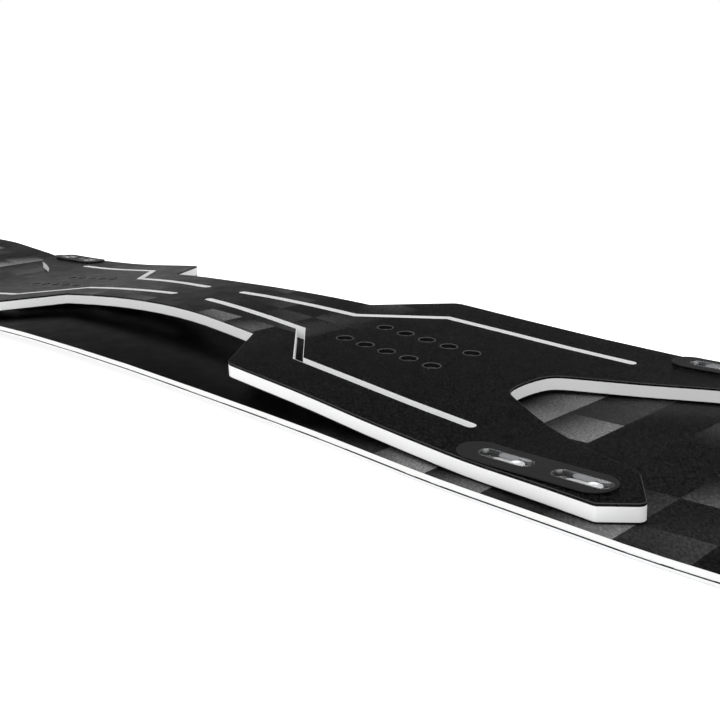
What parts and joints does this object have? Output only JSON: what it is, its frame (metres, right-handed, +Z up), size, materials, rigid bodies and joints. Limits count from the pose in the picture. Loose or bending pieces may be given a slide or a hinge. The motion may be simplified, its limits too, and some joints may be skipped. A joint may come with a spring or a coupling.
{
  "type": "snowboard with riser plate",
  "caption": "Snowboard with an arched, X-shaped floating riser plate held by slotted mounts on four legs.",
  "frame": {"origin": "bottom centre of the bounding box: on the base plane and the centreline, midway between the two tips and the two binding insert fields", "axes": "+X towards the tail, +Y to the left of the direction of travel, +Z up, away from the running base"},
  "size_m": [1.59, 0.286, 0.0506],
  "materials": {
    "running_base": "satin",
    "edge_steel": "satin",
    "rubber": "matte",
    "white_plastic": "satin",
    "glass_laminate": "matte",
    "core_wood": "matte",
    "board_topsheet": "satin",
    "insert_steel": "satin",
    "slide_film": "matte",
    "bright_steel": "gloss",
    "plate_skin": "satin",
    "white_core": "satin",
    "plate_bottom": "satin",
    "binding_insert": "satin",
    "cap_plastic": "satin",
    "liner_metal": "gloss"
  },
  "bodies": {
    "board": {"base_sheet": "running_base", "steel_edge_left": "edge_steel", "steel_edge_right": "edge_steel", "edge_rubber_left": "rubber", "edge_rubber_right": "rubber", "sidewall_left": "white_plastic", "sidewall_right": "white_plastic", "nose_tip_spacer": "white_plastic", "tail_tip_spacer": "white_plastic", "lower_laminate": "glass_laminate", "wood_core": "core_wood", "upper_laminate": "glass_laminate", "topsheet": "board_topsheet", "plate_mount_inserts": "insert_steel", "slide_pads": "slide_film", "screw_sleeves": "bright_steel", "slide_washers": "bright_steel", "plate_screws": "bright_steel"},
    "plate": {"plate_top_skin": "plate_skin", "plate_core": "white_core", "plate_bottom_skin": "plate_bottom", "front_binding_inserts": "binding_insert", "rear_binding_inserts": "binding_insert", "slider_cap_nose_right": "cap_plastic", "slider_cap_nose_left": "cap_plastic", "slider_cap_tail_right": "cap_plastic", "slider_cap_tail_left": "cap_plastic", "cap_gaskets": "rubber", "slot_liners_nose_right": "liner_metal", "slot_liners_nose_left": "liner_metal", "slot_liners_tail_right": "liner_metal", "slot_liners_tail_left": "liner_metal"}
  },
  "joints": [
    {"name": "plate_float", "type": "slide", "parent": "board", "child": "plate", "axis": [1, 0, 0], "range_m": [-0.004, 0.004]}
  ]
}
